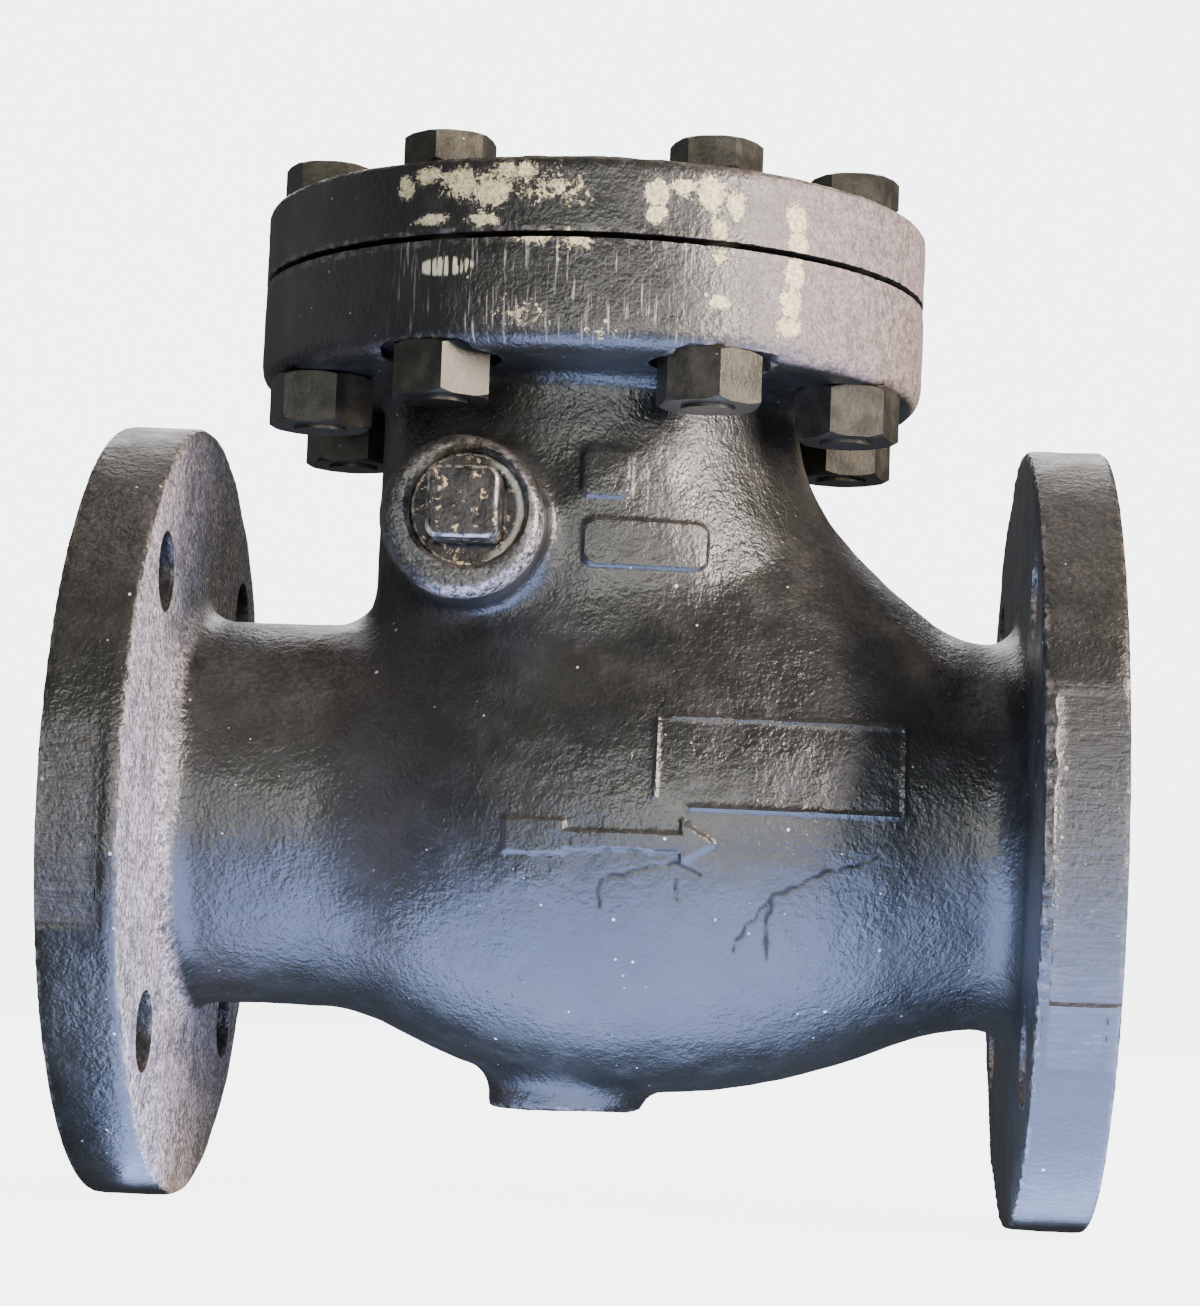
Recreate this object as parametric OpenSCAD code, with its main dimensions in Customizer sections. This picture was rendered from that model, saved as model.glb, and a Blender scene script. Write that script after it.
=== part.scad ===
// Swing check valve, NPS 3 Class 125, flat-faced flanges, bolted cover.
// Origin: centre of the inlet flange's contact face. +X runs with the flow, +Z is up.

/* [Line] */
// Length between the two end-flange faces
face_to_face = 241.3; // [236:0.1:248]
// Diameter of the waterway
bore_d = 76.2; // [72:0.1:80]
// Outside diameter of the two end necks
end_neck_d = 95; // [93:0.5:98]

/* [End flanges] */
// Diameter of an end flange
end_flange_d = 190.5; // [185:0.1:195]
// Thickness of an end flange
end_flange_t = 19.05; // [17:0.05:21]
// Diameter of the circle that the line bolts stand on
line_bolt_circle_d = 152.4; // [150:0.1:155]
// Diameter of a line bolt hole
line_bolt_hole_d = 19.05; // [18:0.05:20]
// Number of line bolt holes
line_bolt_count = 4; // [4:4:8]

/* [Body] */
// Greatest diameter of the bowl
bowl_d = 132; // [130:0.5:134]
// Distance from the inlet face to the bowl's widest place
bowl_x = 128.5; // [126:0.5:131]
// Radius of the arc that the bowl makes towards the inlet
bowl_inlet_arc = 125; // [120:1:130]
// Radius of the arc that the bowl makes towards the outlet
bowl_outlet_arc = 160; // [155:1:165]
// Outside diameter of the neck under the cover
cover_neck_d = 103; // [101:0.5:105]
// Slope of the shoulder between that neck and the outlet
shoulder_slope = 48.5; // [46:0.5:51]
// Height at which the shoulder's axis crosses the neck's axis
shoulder_z = 72.6; // [71:0.1:74]
// Outside diameter of the shoulder
shoulder_d = 96; // [94:0.5:98]
// Distance from the inlet face to the neck's axis
cover_x = 114.3; // [113:0.1:115.5]
// Diameter of the drain boss under the bowl
drain_boss_d = 38; // [34:0.5:42]
// Depth of the drain boss's face below the waterway's axis
drain_boss_depth = 70.5; // [69:0.5:72]

/* [Cover joint] */
// Height of the body's cover flange face
joint_z = 130; // [128:0.5:132]
// Diameter of the cover and of the body's cover flange
cover_d = 165.1; // [163:0.1:167]
// Thickness of the cover's rim
cover_t = 17.5; // [16:0.5:20]
// Thickness of the body's cover flange
cover_flange_t = 25.5; // [24:0.5:27]
// Thickness of the cover gasket
gasket_t = 1.5; // [1:0.1:2]
// Diameter of the circle that the cover bolts stand on
cover_bolt_circle_d = 142; // [140:0.5:143]
// Diameter of a cover bolt
cover_bolt_d = 12.7; // [12:0.1:13]
// Width across flats of a cover bolt's head
bolt_head_flats = 19.05; // [18:0.05:20]
// Height of a cover bolt's head
bolt_head_h = 7.5; // [7:0.1:9]
// Width across flats of a cover nut
nut_flats = 22.2; // [21:0.1:23]
// Height of a cover nut
nut_h = 12.3; // [11:0.1:13]
// Angle between the two cover bolts of a pair; there is a pair in each quarter
cover_bolt_spread = 38; // [36:1:45]
// How far the nut seats that face the two pin bosses are cut into the flange
boss_side_seat_cut = 2.5; // [0.5:0.1:3]
// How far the nut seats that face the two end flanges are cut into the flange
end_side_seat_cut = 0.3; // [0.2:0.1:3]

/* [Hinge] */
// Distance from the inlet face to the hinge pin
pin_x = 91; // [90.5:0.1:91.5]
// Height of the hinge pin
pin_z = 68.8; // [68.5:0.1:69.2]
// Diameter of the hinge pin
pin_d = 12.7; // [12:0.1:13]
// Distance from the inlet face to the middle of the pin bosses, a little off the pin as cast
pin_boss_x = 89.6; // [89:0.1:91]
// Height of the middle of the pin bosses
pin_boss_z = 67; // [66.5:0.1:69]
// Diameter of the two bosses that hold the hinge pin
pin_boss_d = 38; // [36:0.5:40]
// Distance from the middle of the valve to a pin boss's face
pin_boss_y = 72; // [70:0.5:74]
// Diameter of the plug that closes a pin hole
plug_d = 26.7; // [25:0.1:28]
// Width across flats of a plug's square head
plug_square = 16.5; // [15:0.5:18]

/* [Closure] */
// Distance from the inlet face to the seat's face
seat_x = 86; // [85.5:0.1:86.5]
// Diameter of the disc
disc_d = 86; // [85:0.5:86.5]
// Diameter of the stud that holds the disc on its arm
stud_d = 12.7; // [12:0.1:13]

/* [Hidden] */
$fn = 96;
end_neck_r = end_neck_d / 2;
bore_r = bore_d / 2;
// Thickness of the cast walls
wall = end_neck_r - bore_r;
bowl_r = bowl_d / 2;
cover_neck_r = cover_neck_d / 2;
cover_r = cover_d / 2;
cover_under_z = joint_z + gasket_t;
cover_top_z = cover_under_z + cover_t;
cover_flange_under_z = joint_z - cover_flange_t;
cover_bolt_count = 8;
flange_fillet = 8;
neck_fillet = 4.5;
bowl_fillet = 25;
rim_round = 5.5;
spot_face_d = 28;
cover_bolt_hole_d = cover_bolt_d + 1.6;
// A shaft that turns in a hole has this much room all round it
running_gap = 0.08;
// Pieces that touch without turning stand this far apart
fit_gap = 0.05;
// Room between the disc assembly's faces that slide on the arm
end_float = 0.2;
neck_bore_r = 43;
partition_top_z = 51;
cover_round = 1.5;
cover_spigot_h = 5;
cover_dome_r = 46;
cover_dome_h = 5;
bolt_end = 0.8;
seat_proud = 1;
seat_ring_r = 46;
seat_ring_l = 9;
partition_face_x = seat_x - seat_proud;
pin_half_l = 50;
plug_l = 15;
plug_head_l = 14;
plug_sunk = 4;
plug_hole_chamfer = 1;
arm_hub_r = 12;
arm_hub_half_l = 16;
arm_eye_r = 15;
arm_eye_t = 9.8;
arm_web_w = 14;
heel_w = 10;
heel_h = 20;
face_ring_t = 3;
face_ring_w = 5.3;
disc_plate_t = 8;
disc_hub_r = 14;
disc_hub_t = 3;
disc_washer_r = 12;
stud_depth = 9;
disc_x = seat_x + fit_gap + face_ring_t;
disc_back_x = disc_x + disc_plate_t + disc_hub_t;
arm_eye_x = disc_back_x + end_float;
washer_x = arm_eye_x + arm_eye_t + end_float;
washer_t = 2;
disc_nut_h = 9;
disc_nut_x = washer_x + washer_t;
stud_end_x = disc_nut_x + disc_nut_h + 4;
lock_pin_d = 2.4;
lock_pin_half_l = 9;
// How far each bolt head and nut happened to be turned when it was tightened
HEAD_TURN = [8, 21, 41, 3, 33, 14, 59, 26];
NUT_TURN = [45, 34, 5, 20, 28, 32, 47, 37];
arrow_rise = 1.2;
arrow_z = -6;
arrow_tip_x = bowl_x + 22;
arrow_l = 49;
arrow_half_w = 2;
arrow_head_l = 8;
arrow_head_half_w = 5;
arrow_tail_l = 14;
arrow_tail_half_w = 4;

BOLTS = [for (i = [1 : cover_bolt_count]) str("cover_bolt_", i)];
NUTS = [for (i = [1 : cover_bolt_count]) str("cover_nut_", i)];
CLOSURE = ["hinge_pin", "hinge_arm", "disc", "disc_face_ring",
           "disc_stud", "disc_washer", "disc_nut", "disc_lock_pin"];

// Corner radius of a hexagon or square from its width across flats
function corner_r(flats, sides) = flats / 2 / cos(180 / sides);

// Points on an arc round [centre_r, centre_x], turned from a0 to a1 degrees; side is -1 towards the inlet
function arc_points(centre_r, centre_x, arc_r, a0, a1, side, steps) =
    [for (k = [0 : steps]) let (a = a0 + (a1 - a0) * k / steps)
        [centre_r + arc_r * cos(a), centre_x + side * arc_r * sin(a)]];

// How far along the axis the bowl's fillet is centred from the bowl's widest place
function fillet_reach(arc_r) =
    sqrt(pow(arc_r + bowl_fillet, 2) - pow(end_neck_r + bowl_fillet - bowl_r + arc_r, 2));

// Angle round the bowl's arc at which the fillet takes over
function touch_angle(arc_r) = asin(fillet_reach(arc_r) / (arc_r + bowl_fillet));

// Bowl outline from its widest place to one end neck, as [radius, distance from the inlet face],
// moved outwards by grow: the arc, then the fillet
function bowl_side(arc_r, side, grow) = concat(
    arc_points(bowl_r - arc_r, bowl_x, arc_r + grow, 0, touch_angle(arc_r), side, 8),
    arc_points(end_neck_r + bowl_fillet, bowl_x + side * fillet_reach(arc_r), bowl_fillet - grow,
        180 - touch_angle(arc_r) * 0.75, 180, -side, 3));

// The same points from last to first, and the points without the first
function reversed(points) = [for (k = [len(points) - 1 : -1 : 0]) points[k]];
function tail(points) = [for (k = [1 : len(points) - 1]) points[k]];

// The whole bowl outline, from the inlet neck to the outlet neck
function bowl_outline(grow) =
    concat(reversed(bowl_side(bowl_inlet_arc, -1, grow)), tail(bowl_side(bowl_outlet_arc, 1, grow)));

// Turns a shape that stands on Z so that it lies along the flow
module along_flow() rotate([0, 90, 0]) children();

// Spins an outline of [radius, distance from the inlet face] round the waterway's axis
module spin_on_flow() along_flow() rotate_extrude() children();

// Spins an outline of [radius, height] round the cover's axis
module spin_on_cover() translate([cover_x, 0, 0]) rotate_extrude() children();

// A cylinder along the flow that starts at x
module flow_cylinder(x, r, l) translate([x, 0, 0]) along_flow() cylinder(r = r, h = l);

// A cylinder along Y through the hinge axis, between two distances from the middle
module hinge_cylinder(r, y0, y1) {
    translate([pin_x, y0, pin_z]) rotate([-90, 0, 0]) cylinder(r = r, h = y1 - y0);
}

// Angle of cover bolt i round the cover, from the outlet side
function cover_bolt_angle(i) = 45 + 90 * floor((i - 1) / 2) + cover_bolt_spread / 2 * (i % 2 == 1 ? -1 : 1);

// How far nut i's seat is cut in: bolts 2, 3, 6 and 7 face the pin bosses
function seat_cut(i) = i % 4 == 2 || i % 4 == 3 ? boss_side_seat_cut : end_side_seat_cut;

// Height of nut i's seat
function nut_seat_z(i) = cover_flange_under_z + seat_cut(i);

// Places a shape on the axis of cover bolt i
module at_cover_bolt(i) {
    translate([cover_x, 0, 0]) rotate([0, 0, cover_bolt_angle(i)])
        translate([cover_bolt_circle_d / 2, 0, 0]) children();
}

// Hexagon bar with its corners turned off at both ends
module hex_bar(flats, h) {
    turned_r = flats / 2 + 0.3;
    chamfer = corner_r(flats, 6) - turned_r;
    intersection() {
        cylinder(r = corner_r(flats, 6), h = h, $fn = 6);
        rotate_extrude() polygon([[0, 0], [turned_r, 0], [turned_r + chamfer + 1, (chamfer + 1) * 0.6],
            [turned_r + chamfer + 1, h - (chamfer + 1) * 0.6], [turned_r, h], [0, h]]);
    }
}

// Outside of the body along the flow: bowl and end necks
module run_outside() {
    spin_on_flow() polygon(concat([[0, 1], [end_neck_r, 1]], bowl_outline(0),
        [[end_neck_r, face_to_face - 1], [0, face_to_face - 1]]));
}

// An end flange with its fillet, drawn from its contact face inwards
module end_flange() {
    difference() {
        along_flow() rotate_extrude() difference() {
            union() {
                square([end_flange_d / 2, end_flange_t]);
                square([end_neck_r + flange_fillet, end_flange_t + flange_fillet]);
            }
            translate([end_neck_r + flange_fillet, end_flange_t + flange_fillet]) circle(r = flange_fillet);
        }
        for (i = [0.5 : line_bolt_count - 0.5])
            rotate([i * 360 / line_bolt_count, 0, 0]) translate([-1, line_bolt_circle_d / 2, 0])
                along_flow() cylinder(d = line_bolt_hole_d, h = end_flange_t + flange_fillet + 2);
    }
}

// Both end flanges
module end_flanges() {
    end_flange();
    translate([face_to_face, 0, 0]) mirror([1, 0, 0]) end_flange();
}

// Neck and flange that carry the cover, with the flat seats for the nuts
module cover_neck_outside() {
    difference() {
        spin_on_cover() {
            square([cover_neck_r, joint_z]);
            difference() {
                translate([0, cover_flange_under_z - neck_fillet])
                    square([cover_neck_r + neck_fillet, neck_fillet + 1]);
                translate([cover_neck_r + neck_fillet, cover_flange_under_z - neck_fillet])
                    circle(r = neck_fillet);
            }
            translate([0, cover_flange_under_z]) square([cover_r - rim_round, cover_flange_t]);
            translate([0, cover_flange_under_z + rim_round]) square([cover_r, cover_flange_t - rim_round]);
            translate([cover_r - rim_round, cover_flange_under_z + rim_round]) circle(r = rim_round);
        }
        for (i = [1 : cover_bolt_count])
            at_cover_bolt(i) translate([0, 0, nut_seat_z(i) - 12]) cylinder(d = spot_face_d, h = 12);
    }
}

// A round bar along the slope of the shoulder, down to reach_x along the flow
module shoulder_bar(r, reach_x) {
    translate([cover_x, 0, shoulder_z]) rotate([0, 90 + shoulder_slope, 0])
        cylinder(r = r, h = (reach_x - cover_x) / cos(shoulder_slope));
}

// The raised arrow that shows the way of the flow, on one side of the bowl
module flow_arrow() {
    grown = bowl_outline(arrow_rise);
    intersection() {
        spin_on_flow() polygon(concat([[0, grown[0][1]]], grown, [[0, grown[len(grown) - 1][1]]]));
        translate([arrow_tip_x, 0, arrow_z]) rotate([90, 0, 0]) linear_extrude(bowl_r + 10)
            for (half = [0, 1]) mirror([0, half, 0])
                polygon([[-arrow_l, 0], [-arrow_l, arrow_tail_half_w],
                    [arrow_tail_l - arrow_l, arrow_tail_half_w],
                    [arrow_tail_l - arrow_l, arrow_half_w], [-arrow_head_l, arrow_half_w],
                    [-arrow_head_l, arrow_head_half_w], [0, 0]]);
    }
}

module body_casting() {
    color("#26282a") difference() {
        union() {
            run_outside();
            end_flanges();
            cover_neck_outside();
            shoulder_bar(shoulder_d / 2, bowl_x + 43);
            translate([pin_boss_x - pin_x, 0, pin_boss_z - pin_z])
                hinge_cylinder(pin_boss_d / 2, -pin_boss_y, pin_boss_y);
            translate([cover_x, 0, -drain_boss_depth]) cylinder(d = drain_boss_d, h = drain_boss_depth / 2);
            flow_arrow();
        }
        waterway();
        hinge_holes();
        for (i = [1 : cover_bolt_count])
            at_cover_bolt(i) translate([0, 0, cover_flange_under_z - 1])
                cylinder(d = cover_bolt_hole_d, h = cover_flange_t + 2);
    }
}

// What the water fills along the flow: inlet bore, seat pocket, bowl and outlet bore
module run_inside() {
    inlet_side = arc_points(bowl_r - bowl_inlet_arc, bowl_x, bowl_inlet_arc - wall,
        asin((bowl_x - partition_face_x) / (bowl_inlet_arc - wall)), 0, -1, 5);
    spin_on_flow() polygon(concat(
        [[0, -1], [bore_r, -1], [bore_r, seat_x - seat_ring_l],
            [seat_ring_r + fit_gap, seat_x - seat_ring_l], [seat_ring_r + fit_gap, partition_face_x]],
        inlet_side, tail(bowl_side(bowl_outlet_arc, 1, -wall)),
        [[bore_r, face_to_face + 1], [0, face_to_face + 1]]));
}

// Everything the water fills: the run, the neck under the cover and the shoulder
module waterway() {
    run_inside();
    translate([cover_x, 0, 0]) intersection() {
        cylinder(r = neck_bore_r, h = partition_top_z + 1);
        translate([partition_face_x - cover_x, -cover_r, -1]) cube([cover_d, cover_d, joint_z]);
    }
    translate([cover_x, 0, partition_top_z]) cylinder(r = neck_bore_r, h = joint_z);
    shoulder_bar(shoulder_d / 2 - wall, bowl_x + 33);
}

// The two holes for the hinge pin, and the chamfered pockets for their plugs
module hinge_holes() {
    pocket_y = pin_half_l + 2;
    pocket_r = plug_d / 2 + fit_gap;
    hinge_cylinder(pin_d / 2 + running_gap, -pocket_y - 1, pocket_y + 1);
    translate([pin_x, 0, pin_z]) for (side = [-1, 1]) rotate([-90 * side, 0, 0]) {
        translate([0, 0, pocket_y]) cylinder(r = pocket_r, h = pin_boss_y);
        translate([0, 0, pin_boss_y - plug_hole_chamfer])
            cylinder(r1 = pocket_r, r2 = pocket_r + 2 * plug_hole_chamfer, h = 2 * plug_hole_chamfer);
    }
}

module seat_ring() {
    color("#b08d4f") difference() {
        flow_cylinder(seat_x - seat_ring_l, seat_ring_r, seat_ring_l);
        flow_cylinder(seat_x - seat_ring_l - 1, bore_r, seat_ring_l + 2);
    }
}

module cover_gasket() {
    color("#3b3a37") translate([cover_x, 0, joint_z]) difference() {
        cylinder(d = cover_bolt_circle_d - cover_bolt_d - 1, h = gasket_t);
        translate([0, 0, -1]) cylinder(r = neck_bore_r + 0.5, h = gasket_t + 2);
    }
}

module cover() {
    color("#26282a") difference() {
        spin_on_cover() {
            translate([0, cover_under_z]) square([cover_r, cover_t - cover_round]);
            translate([0, cover_under_z]) square([cover_r - cover_round, cover_t]);
            translate([cover_r - cover_round, cover_top_z - cover_round]) circle(r = cover_round);
            translate([0, cover_under_z - cover_spigot_h]) square([neck_bore_r - 0.5, cover_spigot_h + 1]);
            translate([0, cover_top_z - 1]) square([cover_dome_r - cover_dome_h, cover_dome_h + 1]);
            intersection() {
                translate([cover_dome_r - cover_dome_h, cover_top_z]) circle(r = cover_dome_h);
                translate([0, cover_top_z - 1]) square([cover_r, cover_dome_h + 1]);
            }
        }
        translate([cover_x, 0, cover_under_z - cover_spigot_h - 1])
            cylinder(r = neck_bore_r - wall, h = cover_spigot_h + 1);
        for (i = [1 : cover_bolt_count])
            at_cover_bolt(i) translate([0, 0, cover_under_z - 1])
                cylinder(d = cover_bolt_hole_d, h = cover_t + 2);
    }
}

// One cover bolt: hexagon head on the cover, shank down through the nut
module cover_bolt(i) {
    color("#2f2f2b") at_cover_bolt(i) {
        translate([0, 0, cover_top_z]) rotate([0, 0, HEAD_TURN[i - 1]])
            hex_bar(bolt_head_flats, bolt_head_h);
        translate([0, 0, nut_seat_z(i) - nut_h - bolt_end])
            cylinder(d = cover_bolt_d, h = cover_top_z - nut_seat_z(i) + nut_h + bolt_end + 1);
    }
}

// One cover nut, under the body's cover flange
module cover_nut(i) {
    color("#2f2f2b") at_cover_bolt(i) translate([0, 0, nut_seat_z(i) - nut_h]) difference() {
        rotate([0, 0, NUT_TURN[i - 1]]) hex_bar(nut_flats, nut_h);
        translate([0, 0, -1]) cylinder(r = cover_bolt_d / 2 + fit_gap, h = nut_h + 2);
    }
}

// One plug: round thread in the boss, square head outside; side is -1 in front and 1 behind
module side_plug(side) {
    color("#4a4338") translate([pin_x, 0, pin_z]) rotate([-90 * side, 0, 0]) {
        translate([0, 0, pin_boss_y - plug_sunk - plug_l]) cylinder(d = plug_d, h = plug_l);
        translate([0, 0, pin_boss_y - plug_sunk - 1]) intersection() {
            translate([-plug_square / 2, -plug_square / 2, 0])
                cube([plug_square, plug_square, plug_head_l + 1]);
            cylinder(d = plug_square * 1.3, h = plug_head_l + 1);
        }
    }
}

module side_plug_front() side_plug(-1);

module side_plug_rear() side_plug(1);

module hinge_pin() {
    color("#8e8f8c") hinge_cylinder(pin_d / 2, -pin_half_l, pin_half_l);
}

// Arm: hub on the pin, web behind the disc, eye for the disc's stud, heel that stops the opening swing
module hinge_arm() {
    eye_end_x = arm_eye_x + arm_eye_t;
    web_top_z = disc_d / 2 + 4;
    color("#3a3b3a") difference() {
        union() {
            hinge_cylinder(arm_hub_r, -arm_hub_half_l, arm_hub_half_l);
            flow_cylinder(arm_eye_x, arm_eye_r, arm_eye_t);
            translate([0, arm_web_w / 2, 0]) rotate([90, 0, 0]) linear_extrude(arm_web_w)
                polygon([[arm_eye_x, 0], [arm_eye_x, web_top_z - 4], [pin_x - 6, web_top_z + 10],
                    [pin_x, pin_z], [pin_x + 10, pin_z], [eye_end_x + 3, web_top_z - 4],
                    [eye_end_x, arm_eye_r], [eye_end_x, 0]]);
            translate([pin_x - 6, -heel_w / 2, pin_z]) cube([10, heel_w, heel_h]);
        }
        hinge_cylinder(pin_d / 2 + running_gap, -arm_hub_half_l - 1, arm_hub_half_l + 1);
        flow_cylinder(arm_eye_x - 1, stud_d / 2 + running_gap, arm_eye_t + 5);
    }
}

// Disc: round plate with a pilot for the face ring in front and a hub behind
module disc() {
    color("#3a3b3a") difference() {
        union() {
            flow_cylinder(disc_x, disc_d / 2, disc_plate_t);
            flow_cylinder(disc_x - face_ring_t + 0.5, disc_d / 2 - face_ring_w - fit_gap, face_ring_t);
            flow_cylinder(disc_x + 1, disc_hub_r, disc_plate_t + disc_hub_t - 1);
        }
        flow_cylinder(disc_back_x - stud_depth, stud_d / 2 + fit_gap, stud_depth + 1);
    }
}

module disc_face_ring() {
    color("#b08d4f") difference() {
        flow_cylinder(disc_x - face_ring_t, disc_d / 2 - 0.5, face_ring_t);
        flow_cylinder(disc_x - face_ring_t - 1, disc_d / 2 - face_ring_w, face_ring_t + 2);
    }
}

module disc_stud() {
    color("#b08d4f") difference() {
        flow_cylinder(disc_back_x - stud_depth, stud_d / 2, stud_end_x - disc_back_x + stud_depth);
        lock_pin_hole();
    }
}

module disc_washer() {
    color("#b08d4f") difference() {
        flow_cylinder(washer_x, disc_washer_r, washer_t);
        flow_cylinder(washer_x - 1, stud_d / 2 + fit_gap, washer_t + 2);
    }
}

module disc_nut() {
    color("#b08d4f") difference() {
        translate([disc_nut_x, 0, 0]) along_flow() hex_bar(bolt_head_flats, disc_nut_h);
        flow_cylinder(disc_nut_x - 1, stud_d / 2 + fit_gap, disc_nut_h + 2);
    }
}

// The hole for the lock pin, across the stud behind the nut
module lock_pin_hole() {
    translate([stud_end_x - 2, -stud_d, 0]) rotate([-90, 0, 0])
        cylinder(d = lock_pin_d + 2 * fit_gap, h = 2 * stud_d);
}

module disc_lock_pin() {
    color("#a98a50") translate([stud_end_x - 2, -lock_pin_half_l, 0]) rotate([-90, 0, 0])
        cylinder(d = lock_pin_d, h = 2 * lock_pin_half_l);
}

body_casting();
seat_ring();
cover_gasket();
cover();
side_plug_front();
side_plug_rear();
for (i = [1 : cover_bolt_count]) cover_bolt(i);
for (i = [1 : cover_bolt_count]) cover_nut(i);
hinge_pin();
hinge_arm();
disc();
disc_face_ring();
disc_stud();
disc_washer();
disc_nut();
disc_lock_pin();
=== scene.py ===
import math

import bmesh
import bpy
import numpy as np
from mathutils import Matrix, Vector


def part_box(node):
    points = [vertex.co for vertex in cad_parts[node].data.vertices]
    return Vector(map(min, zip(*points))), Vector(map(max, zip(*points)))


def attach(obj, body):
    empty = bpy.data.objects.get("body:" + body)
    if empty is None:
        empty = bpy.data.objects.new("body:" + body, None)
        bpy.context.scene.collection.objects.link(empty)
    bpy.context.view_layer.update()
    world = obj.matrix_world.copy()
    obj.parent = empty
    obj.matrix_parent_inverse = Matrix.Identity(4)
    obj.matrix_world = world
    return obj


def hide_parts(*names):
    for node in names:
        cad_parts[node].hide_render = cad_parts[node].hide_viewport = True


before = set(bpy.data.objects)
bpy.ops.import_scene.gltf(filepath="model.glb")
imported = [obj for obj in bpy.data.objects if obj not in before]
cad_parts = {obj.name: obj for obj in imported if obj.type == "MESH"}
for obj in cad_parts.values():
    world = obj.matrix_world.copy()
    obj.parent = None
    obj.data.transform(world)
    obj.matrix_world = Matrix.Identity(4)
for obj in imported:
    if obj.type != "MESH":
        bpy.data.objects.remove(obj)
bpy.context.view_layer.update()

MM = 0.001


# ------------------------ sizes, in millimetres, from the frame
def box_mm(node):
    """Lowest and highest corner of a CAD node, in millimetres."""
    low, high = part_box(node)
    return np.array(low) / MM, np.array(high) / MM


body_low, body_high = box_mm("body_casting")
cover_low, cover_high = box_mm("cover")
gasket_low, gasket_high = box_mm("cover_gasket")
pin_low, pin_high = box_mm("hinge_pin")
seat_low, seat_high = box_mm("seat_ring")
plug_low, plug_high = box_mm("side_plug_front")
bolt_boxes = [box_mm(f"cover_bolt_{i}") for i in range(1, 9)]
nut_boxes = [box_mm(f"cover_nut_{i}") for i in range(1, 9)]

FACE_TO_FACE = body_high[0]
FLANGE_R = body_high[1]
FLANGE_T = 19.05
LINE_HOLE_R = 19.05 / 2
LINE_HOLE_OFFSET = 152.4 / 2 * math.sqrt(0.5)
LINE_HOLE_DEPTH = FLANGE_T + 9
NECK_R = 47.5
BORE_R = 38.1
WALL = NECK_R - BORE_R
BOWL_X, BOWL_R = 128.5, 66.0
INLET_ARC, OUTLET_ARC = 125.0, 160.0
COVER_X = (cover_low[0] + cover_high[0]) / 2
COVER_R = (cover_high[0] - cover_low[0]) / 2
JOINT_Z = gasket_low[2]
COVER_UNDER_Z = gasket_high[2]
BOLT_HEAD_T = 7.5
COVER_TOP_Z = bolt_boxes[0][1][2] - BOLT_HEAD_T
COVER_FLANGE_T = 25.5
COVER_FLANGE_UNDER_Z = JOINT_Z - COVER_FLANGE_T
DOME_R = 46.0
COVER_NECK_R = 51.5
NECK_BORE_R = 43.0
PARTITION_TOP_Z = 51.0
SHOULDER_R = 48.0
SHOULDER_Z = 72.6
SHOULDER_SLOPE = math.radians(48.5)
SHOULDER_END_X = BOWL_X + 43
BOSS_X, BOSS_Z, BOSS_R, BOSS_Y = 89.6, 67.0, 19.0, 72.0
DRAIN_R, DRAIN_DEPTH = 19.0, 70.5
PIN_X, PIN_Z = (pin_low[0] + pin_high[0]) / 2, (pin_low[2] + pin_high[2]) / 2
PIN_HOLE_R = (pin_high[0] - pin_low[0]) / 2 + 0.08
FIT = 0.05
PLUG_R = (plug_high[0] - plug_low[0]) / 2
PLUG_POCKET_Y = pin_high[1] + 2
PLUG_FACE_Y = BOSS_Y - 4
PLUG_SQUARE = 16.5
SEAT_BACK_X = seat_low[0]
PARTITION_X = seat_high[0] - 1
SEAT_POCKET_R = seat_high[1] + FIT
COVER_HOLE_R = 12.7 / 2 + 0.8
SPOT_FACE_R = 14.0
# ground places on the end flanges' rims
GROUND_LEFT_X, GROUND_LEFT_Z = 14.0, (-30, 15)
GROUND_RIGHT_X, GROUND_RIGHT_Z = FACE_TO_FACE - 16, (-39, 30)
GROUND_LOW_X, GROUND_LOW_Z = (FACE_TO_FACE - 17.5, FACE_TO_FACE - 3), (-53, -41)
# fillets and roundings of the castings
RUN_FILLET, FLANGE_FILLET, RIM_FILLET, NECK_FILLET = 5, 8, 4.5, 9
SHOULDER_FILLET, BOSS_FILLET, WET_FILLET = 12, 5, 4
FLANGE_ROUNDING, RIM_ROUNDING, BOSS_ROUNDING, DRAIN_ROUNDING = 1.3, 5.5, 3.2, 1.5
FACE_ROUNDING, SPOT_ROUNDING, GROUND_ROUNDING = 0.4, 0.5, 0.3
BOLT_XY = [((lo[0] + hi[0]) / 2, (lo[1] + hi[1]) / 2) for lo, hi in bolt_boxes]
SEAT_Z = [hi[2] for lo, hi in nut_boxes]
FLOOR_Z = body_low[2]


# ------------------------ distance fields
def length(a, b):
    return np.sqrt(a * a + b * b)


def join(a, b, fillet):
    """Both shapes together, with a concave fillet where they meet."""
    corner = length(np.maximum(fillet - a, 0), np.maximum(fillet - b, 0))
    return np.maximum(fillet, np.minimum(a, b)) - corner


def common(a, b, rounding):
    """What both shapes share, with its new edge rounded."""
    corner = length(np.maximum(rounding + a, 0), np.maximum(rounding + b, 0))
    return np.minimum(-rounding, np.maximum(a, b)) + corner


def cut(a, tool, rounding):
    """The first shape without the second, with the new edge rounded."""
    return common(a, -tool, rounding)


def disc(radius, height, r, half, rounding):
    """A round plate: radius is the distance from its axis, height the distance from its middle plane."""
    u = radius - r + rounding
    v = np.abs(height) - half + rounding
    return np.minimum(np.maximum(u, v), 0) + length(np.maximum(u, 0), np.maximum(v, 0)) - rounding


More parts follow.
